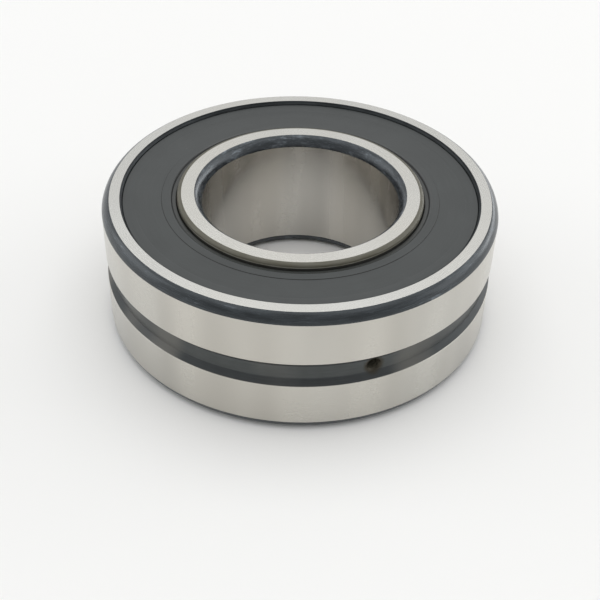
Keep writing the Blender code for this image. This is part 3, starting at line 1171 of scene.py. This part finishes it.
@dataclass
class InnerRing:
    """Inner ring with two curved tracks, seal lands and a cylindrical bore."""

    half_width: float = 14.0 * MM
    bore_radius: float = 20.0 * MM
    bore_corner_start: float = 11.8 * MM
    face_inside: float = 21.50 * MM
    face_outside: float = 24.12 * MM
    corner_dip: float = math.radians(20)
    land_radius: float = 25.0 * MM
    land_top: float = 13.35 * MM
    land_bottom: float = 11.6 * MM
    land_fillet: float = 0.15 * MM
    painted_shade_top: float = 13.12 * MM
    edge_chords: int = 7
    edge_turn: float = 0.9 * QUARTER_TURN
    track_top: float = 11.3 * MM
    track_radius: float = 36.65 * MM
    track_centre: Point = (61.95 * MM, 12.74677 * MM)
    ridge_radius: float = 27.33807 * MM

    def section(self) -> list[Knot]:
        """Upper half of the section, from the ridge over the face to the middle of the bore."""
        out, up = self.track_centre
        reach = self.track_radius
        ridge_turn = math.pi + math.acos((out - self.ridge_radius) / reach)
        top_turn = math.pi + math.asin((up - self.track_top) / reach)
        shoulder = out - math.sqrt(reach**2 - (up - self.track_top) ** 2)
        knots = [
            Knot(self.ridge_radius, 0.0, Skin.TRACK),
            *arc(
                self.track_centre, (reach, reach), (ridge_turn, top_turn), TRACK_CHORDS, Skin.TRACK
            ),
            Knot(shoulder, self.track_top, Skin.GREASED),
            # The land's lower band carries painted shade of the gap under the seal lip.
            Knot(self.land_radius, self.land_bottom, Skin.GREASE_IN_PAINTED_SHADE, self.land_fillet),
            Knot(self.land_radius, self.painted_shade_top, Skin.GREASED),
            *arc(
                (self.face_outside, self.land_top),
                (self.land_radius - self.face_outside, self.half_width - self.land_top),
                (0.0, self.edge_turn),
                self.edge_chords,
                Skin.EDGE,
            ),
            Knot(self.face_outside, self.half_width, Skin.INNER_FACE),
            Knot(self.face_inside, self.half_width, Skin.BORE_CORNER),
        ]
        mirror_start = 2 * self.face_inside - self.bore_radius
        corner = corner_arc(
            start=(mirror_start, self.bore_corner_start),
            end=(self.face_inside, self.half_width),
            dip=self.corner_dip,
            skin=Skin.BORE_CORNER,
        )
        for knot in reversed(corner[1:]):
            knots.append(Knot(2 * self.face_inside - knot.radius, knot.height, knot.skin))
        knots.append(Knot(self.bore_radius, self.bore_corner_start, Skin.BORE))
        knots.append(Knot(self.bore_radius, 0.0, Skin.BORE))
        return filleted(knots, closed=False)

    def build(self) -> None:
        """Turn the ring and seat it."""
        ring = Workpiece("ring_inner").turned(self.section(), RING_STEPS, closed=False)
        ring.mirrored().smooth()
        ring.seat("inner_ring", "inner_ring", "bore_steel")


@dataclass
class Seals:
    """Two like rubber seals that snap into the outer ring, the lower one turned over."""

    top: float = 13.05 * MM
    plateau: float = 12.95 * MM
    rim_step: float = 0.05 * MM
    rim_rise: float = 0.30 * MM
    underside: float = 12.45 * MM
    lip_tip: float = 25.12 * MM
    lip_drop: float = 0.35 * MM
    lip_line: float = 26.08 * MM
    lip_half: float = 0.13 * MM
    lip_bevel: float = 0.22 * MM
    bevel_drop: float = 0.065 * MM
    collar_line: float = 28.08 * MM
    rim_line: float = 33.54 * MM
    line_half: float = 0.11 * MM
    rim_radius: float = 35.82 * MM
    bead_radius: float = 36.30 * MM
    bead_top: float = 12.72 * MM
    bead_slope: float = 0.20 * MM
    bead_bottom: float = 12.05 * MM
    bead_inside: float = 34.66 * MM
    fillet_chords: int = 3

    def section(self) -> list[Knot]:
        """Section of the upper seal, from the lip outwards over the top and back underneath."""
        half = self.line_half
        tip_height = self.top - self.lip_drop
        bevel = self.lip_line + self.lip_half
        step = self.underside - self.bead_bottom
        outline = [
            (self.lip_tip, tip_height, Skin.LIP, 0.20),
            # The step walls at the lip line and the collar line carry painted shade.
            (self.lip_line - self.lip_half, tip_height, Skin.LINE, 0.0),
            # The bevel's lighter colour is a painted highlight.
            (bevel, self.top - self.bevel_drop, Skin.GLINT, 0.0),
            (bevel + self.lip_bevel, self.top, Skin.RUBBER, 0.0),
            (self.collar_line - half / 2, self.top, Skin.LINE, 0.0),
            (self.collar_line + half / 2, self.plateau, Skin.RUBBER, 0.0),
            (self.rim_line - half, self.plateau, Skin.RUBBER, 0.0),
            (self.rim_line + half, self.plateau + self.rim_step, Skin.RUBBER, 0.0),
            (self.rim_radius, self.plateau + self.rim_rise, Skin.RUBBER, 0.12),
            (self.rim_radius, self.bead_top, Skin.RUBBER, 0.05),
            (self.bead_radius, self.bead_top - self.bead_slope, Skin.RUBBER, 0.10),
            (self.bead_radius, self.bead_bottom, Skin.RUBBER, 0.15),
            (self.bead_inside, self.bead_bottom, Skin.RUBBER, 0.10),
            (self.bead_inside - step, self.underside, Skin.RUBBER, 0.10),
            (self.lip_tip, self.underside, Skin.LIP, 0.05),
        ]
        knots = [Knot(out, height, skin, fillet * MM) for out, height, skin, fillet in outline]
        return filleted(knots, closed=True, chords=self.fillet_chords)

    def build(self) -> None:
        """Mould the upper seal, turn a copy over, and seat both."""
        upper = Workpiece("rubber_seal_upper").turned(self.section(), RING_STEPS)
        upper.smooth()
        lower = upper.copied("rubber_seal_lower", Matrix.Rotation(math.pi, 4, "X"))
        upper.seat("outer_ring", "seal_upper", "seal_rubber")
        lower.seat("outer_ring", "seal_lower", "seal_rubber")


@dataclass
class GuideRing:
    """Loose guide ring between the two rows."""

    bore: float = 27.638 * MM
    rim: float = 32.191 * MM
    bore_half: float = 0.90 * MM
    rim_half: float = 1.837 * MM
    edge: float = 0.15 * MM

    def build(self) -> None:
        """Turn the ring and seat it."""
        knots = [
            Knot(self.rim, 0.0, Skin.GUIDE),
            Knot(self.rim, self.rim_half, Skin.GUIDE, self.edge),
            Knot(self.bore, self.bore_half, Skin.GUIDE, self.edge),
            Knot(self.bore, 0.0, Skin.GUIDE),
        ]
        ring = Workpiece("ring_guide")
        ring.turned(filleted(knots, closed=False), RING_STEPS, closed=False).mirrored().smooth()
        ring.seat("guide_ring", "guide_ring", "guide_steel")


class Row(Enum):
    """The two rows of rollers."""

    UPPER = "upper"
    LOWER = "lower"


@dataclass
class Rows:
    """Both rows of barrel rollers with their window cages."""

    rollers: int = 17
    contact_angle: float = 0.20292694
    pitch_radius: float = 30.975 * MM
    pitch_height: float = 6.37339 * MM
    row_radius: float = 31.62389 * MM
    roller_radius: float = 4.87611 * MM
    roller_half: float = 4.38856 * MM
    roller_edge: float = 0.35 * MM
    roller_fillet: float = 0.12 * MM
    roller_steps: int = 40
    crown_radius: float = 35.405 * MM
    crown_chords: int = 8
    cage_inside: float = 32.22389 * MM
    cage_outside: float = 33.02389 * MM
    cage_end: float = 4.68856 * MM
    cage_sheet: float = 0.8 * MM
    cage_steps: int = 17 * 16
    flange_tip: float = 27.90 * MM
    middle_gap: float = 0.15 * MM
    punch_depth: float = 3.2 * MM
    window_width: float = 10.118 * MM
    window_length: float = 9.217 * MM
    window_corner: float = 0.8 * MM
    window_chords: int = 5

    def turned_row(self, row: Row) -> Matrix:
        """Turn that brings the upper row's pieces to a row.

        Args:
            row: The row.

        Returns:
            No turn for the upper row; half over and half a pitch on for the lower one.
        """
        if row is Row.UPPER:
            return Matrix.Identity(4)
        half_pitch = Matrix.Rotation(math.pi / self.rollers, 4, "Z")
        return half_pitch @ Matrix.Rotation(math.pi, 4, "X")

    def roller_place(self, index: int) -> Matrix:
        """Place of a roller in the upper row.

        Args:
            index: Number of the roller.

        Returns:
            Place whose Z runs along the roller and whose X points outwards.
        """
        around = Matrix.Rotation(FULL_TURN * index / self.rollers, 4, "Z")
        out = Matrix.Translation(Vector((self.pitch_radius, 0.0, self.pitch_height)))
        return around @ out @ Matrix.Rotation(-self.contact_angle, 4, "Y")

    def row_point(self, along: float, out: float) -> Point:
        """Radius and height of a point given along and out from the roller's axis.

        Args:
            along: Distance along the roller's axis from the middle of the row.
            out: Distance from the bearing's centre in the direction of the contact angle.

        Returns:
            Radius and height.
        """
        cosine = math.cos(self.contact_angle)
        sine = math.sin(self.contact_angle)
        return out * cosine - along * sine, out * sine + along * cosine

    def roller(self) -> Workpiece:
        """One barrel roller about its own axis."""
        tilt = math.asin((self.roller_half - self.roller_edge) / self.crown_radius)
        centre = self.roller_radius - self.crown_radius
        end_radius = centre + self.crown_radius * math.cos(tilt) - self.roller_edge
        crown = self.crown_radius, self.crown_radius
        knots = [
            Knot(0.0, self.roller_half, Skin.ROLLER_END),
            Knot(end_radius, self.roller_half, Skin.ROLLER_END, self.roller_fillet),
            *arc((centre, 0.0), crown, (tilt, 0.0), self.crown_chords, Skin.ROLLER),
            Knot(self.roller_radius, 0.0, Skin.ROLLER),
        ]
        roller = Workpiece("roller_pattern")
        roller.turned(filleted(knots, closed=False), self.roller_steps, closed=False)
        roller.mirrored()
        roller.remember_place(OWN_PLACE)
        roller.smooth()
        return roller

    def middle_point(self, out: float) -> Point:
        """Where a cage wall ends, just short of the plane between the rows.

        Args:
            out: Distance from the bearing's centre in the direction of the contact angle.

        Returns:
            Radius and height.
        """
        rise = self.middle_gap - out * math.sin(self.contact_angle)
        return self.row_point(rise / math.cos(self.contact_angle), out)

    def cage_section(self) -> list[Knot]:
        """Section of the upper cage: a slanted wall and a flange along the rollers' ends."""
        flange = self.cage_end + self.cage_sheet
        outline = [
            (self.row_point(flange, self.flange_tip), 0.20),
            (self.row_point(flange, self.cage_outside), 0.90),
            (self.middle_point(self.cage_outside), 0.12),
            (self.middle_point(self.cage_inside), 0.12),
            (self.row_point(self.cage_end, self.cage_inside), 0.25),
            (self.row_point(self.cage_end, self.flange_tip), 0.20),
        ]
        knots = [Knot(*point, Skin.CAGE, fillet * MM) for point, fillet in outline]
        return filleted(knots, closed=True)

    def window_cutter(self, index: int) -> Workpiece:
        """Punch for one window, with rounded corners.

        Args:
            index: Number of the window.

        Returns:
            The punch in its place.
        """
        deselect()
        bpy.ops.mesh.primitive_cube_add(size=1.0)
        punch = Workpiece(f"window_cutter_{index + 1}", bpy.context.object)
        size = Vector((self.punch_depth, self.window_width, self.window_length, 1.0))
        punch.place(Matrix.Diagonal(size))
        shape = punch.begin("EDGE")
        for edge in shape.edges:
            run = edge.verts[1].co - edge.verts[0].co
            edge.select = abs(run.y) + abs(run.z) < MERGE_DISTANCE
        bmesh.update_edit_mesh(punch.body.data)
        bpy.ops.mesh.bevel(
            offset=self.window_corner, segments=self.window_chords, affect="EDGES"
        )
        bpy.ops.object.mode_set(mode="OBJECT")
        wall = (self.cage_inside + self.cage_outside) / 2 - self.row_radius
        return punch.place(self.roller_place(index) @ Matrix.Translation(Vector((wall, 0.0, 0.0))))

    def cage(self) -> Workpiece:
        """The upper cage with its windows punched out."""
        cage = Workpiece("window_cage_upper").turned(self.cage_section(), self.cage_steps)
        for index in range(self.rollers):
            cage.cut(self.window_cutter(index))
        cage.skin(lambda centre: Skin.CAGE)
        cage.smooth()
        return cage

    def build(self) -> None:
        """Make one cage and one roller, copy them round both rows, and seat them."""
        cage = self.cage()
        lower_cage = cage.copied("window_cage_lower", self.turned_row(Row.LOWER))
        cage.seat("cage_upper", "cage_upper", "cage_steel")
        lower_cage.seat("cage_lower", "cage_lower", "cage_steel")
        pattern = self.roller()
        for row in Row:
            for index in range(self.rollers):
                number = f"{row.value}_{index + 1:02d}"
                place = self.turned_row(row) @ self.roller_place(index)
                barrel = pattern.copied(f"barrel_{number}", place)
                barrel.seat(f"roller_{number}", f"roller_{number}", "roller_steel")
        bpy.data.objects.remove(pattern.body)


@dataclass(frozen=True)
class Softbox:
    """A lamp that faces the bearing. Brightness is that of its face, where 1 is white."""

    name: str
    place: tuple[float, float, float]
    size: Point
    brightness: float

    def hang(self) -> None:
        """Hang the lamp, unseen by the camera."""
        spot = Vector(self.place)
        aim = (-spot).to_track_quat("-Z", "Y")
        deselect()
        bpy.ops.object.light_add(type="AREA", location=spot, rotation=aim.to_euler())
        lamp = bpy.context.object
        lamp.name = self.name
        lamp.data.shape = "RECTANGLE"
        lamp.data.size, lamp.data.size_y = self.size
        lamp.data.energy = self.brightness * math.pi * self.size[0] * self.size[1]
        lamp.visible_camera = False


@dataclass
class Studio:
    """Pale floor, soft lights and camera."""

    floor_height: float = -14.0 * MM
    floor_size: float = 6.0
    floor_colour: Colour = (0.90, 0.90, 0.89)
    floor_roughness: float = 0.9
    floor_gloss: float = 0.1
    fade_start: float = 0.20
    fade_end: float = 1.00
    sky_light: float = 0.60
    sky_seen: float = 1.0
    middle_share: float = 0.72
    front_share: float = 0.60
    top_share: float = 0.15
    softboxes: tuple[Softbox, ...] = (
        Softbox("overhead softbox", (0.0, 0.10, 1.2), (1.50, 1.50), 1.08),
        Softbox("left softbox", (-1.0, 0.15, 0.48), (0.80, 0.55), 1.15),
        Softbox("right softbox", (1.0, 0.20, 0.45), (1.00, 0.55), 1.05),
        Softbox("low softbox", (0.80, 0.80, 0.14), (0.90, 0.24), 2.6),
    )
    eye: tuple[float, float, float] = (3.338 * MM, -186.179 * MM, 137.951 * MM)
    pitch: float = math.radians(39.372)
    yaw: float = math.radians(-0.870)
    roll: float = math.radians(-1.716)
    lens: float = 66.01
    sensor: float = 36.0

    def build_floor(self) -> None:
        """Lay a plain pale floor that fades into the pale surround far from the bearing."""
        deselect()
        spot = (0.0, 0.0, self.floor_height)
        bpy.ops.mesh.primitive_plane_add(size=self.floor_size, location=spot)
        floor = bpy.context.object
        floor.name = "floor"
        material = bpy.data.materials.new("pale floor")
        material.use_nodes = True
        graph = Graph(material.node_tree)
        graph.finish(
            Base_Color=self.floor_colour,
            Roughness=self.floor_roughness,
            Specular_IOR_Level=self.floor_gloss,
            Alpha=1 - graph.ease(graph.round_place().radius, self.fade_start, self.fade_end),
        )
        floor.data.materials.append(material)

    def build_sky(self) -> None:
        """Light everything evenly, with a pale surround in the metal.

        It is darker half-way up and in front, and overhead, where the softbox hangs before it.
        """
        world = bpy.context.scene.world or bpy.data.worlds.new("studio")
        bpy.context.scene.world = world
        world.use_nodes = True
        graph = Graph(world.node_tree)
        path = graph.node("ShaderNodeLightPath")
        camera, glossy, through = (
            Signal(graph, path.outputs[f"Is {kind} Ray"])
            for kind in ("Camera", "Glossy", "Transmission")
        )
        heading = graph.node("ShaderNodeTexCoord").outputs["Generated"]
        ray = graph.node("ShaderNodeSeparateXYZ", values={0: heading})
        ahead = Signal(graph, ray.outputs[1])
        rise = Signal(graph, ray.outputs[2])
        middle = graph.ease(rise, low=0.10, high=0.36)
        middle = middle * (1 - graph.ease(rise, low=0.50, high=0.78))
        front = graph.ease(0.0 - ahead, low=0.20, high=0.70)
        above = graph.ease(rise, low=0.80, high=0.92)
        level = 1 - (1 - self.middle_share) * middle
        level = level * (1 - (1 - self.front_share) * front)
        level = level * (1 - (1 - self.top_share) * above)
        mirrored = graph.math("MAXIMUM", glossy, through)
        strength = self.sky_light + (self.sky_seen * level - self.sky_light) * mirrored
        strength = strength + (self.sky_seen - strength) * camera
        values = {"Color": (1.0, 1.0, 1.0, 1.0), "Strength": strength}
        sky = graph.node("ShaderNodeBackground", values=values)
        graph.node("ShaderNodeOutputWorld", values={"Surface": sky.outputs[0]})

    def build_camera(self) -> None:
        """Look at the bearing from the front and above."""
        along = math.cos(self.pitch)
        ahead = Vector(
            (math.sin(self.yaw) * along, math.cos(self.yaw) * along, -math.sin(self.pitch))
        )
        level = Vector((math.cos(self.yaw), -math.sin(self.yaw), 0.0))
        upright = level.cross(ahead)
        right = math.cos(self.roll) * level - math.sin(self.roll) * upright
        top = math.sin(self.roll) * level + math.cos(self.roll) * upright
        turn = Matrix((right, top, -ahead)).transposed().to_4x4()
        deselect()
        bpy.ops.object.camera_add(location=self.eye)
        camera = bpy.context.object
        camera.name = "camera"
        camera.matrix_world = Matrix.Translation(Vector(self.eye)) @ turn
        camera.data.lens = self.lens
        camera.data.sensor_width = self.sensor
        camera.data.clip_start = 1 * MM
        bpy.context.scene.camera = camera

    def build(self) -> None:
        """Set up floor, surround, lights and camera."""
        self.build_floor()
        self.build_sky()
        for softbox in self.softboxes:
            softbox.hang()
        self.build_camera()
        bpy.context.scene.view_settings.view_transform = "Standard"
        log.info("studio: floor, surround, %d softboxes and camera", len(self.softboxes))


def main() -> None:
    """Build and seat every piece, then the studio."""
    logging.basicConfig(level=logging.INFO, format="%(name)s: %(message)s")
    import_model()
    OuterRing().build()
    InnerRing().build()
    Seals().build()
    GuideRing().build()
    Rows().build()
    Studio().build()


if __name__ == "__main__":
    main()
